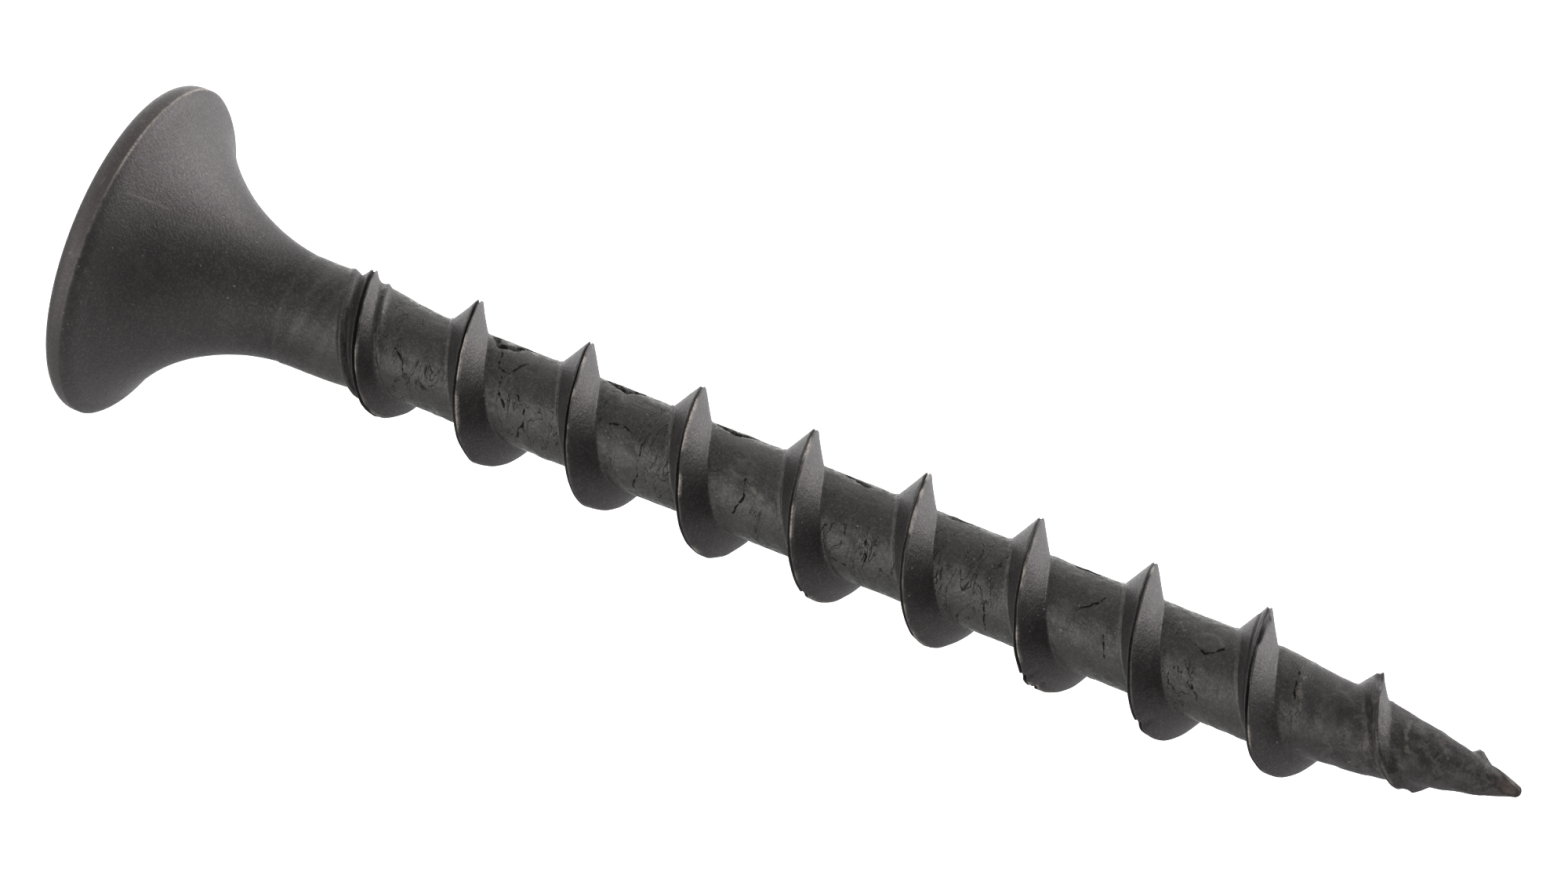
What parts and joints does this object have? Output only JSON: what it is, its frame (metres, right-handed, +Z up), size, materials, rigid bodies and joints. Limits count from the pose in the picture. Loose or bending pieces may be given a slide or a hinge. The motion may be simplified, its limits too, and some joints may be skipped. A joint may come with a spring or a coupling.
{
  "type": "drywall screw",
  "caption": "Bugle-head screw with a cross recess, a short plain shank and a coarse right-hand thread that runs down to a sharp point.",
  "frame": {"origin": "on the screw's axis, half way between the head's flat face and the point", "axes": "+X along the screw's axis from the head towards the point, +Z up, for a screw lying on its side"},
  "size_m": [0.035, 0.0078, 0.0078],
  "materials": {
    "phosphated_steel": "matte"
  },
  "bodies": {
    "root": {"screw": "phosphated_steel"}
  },
  "joints": []
}
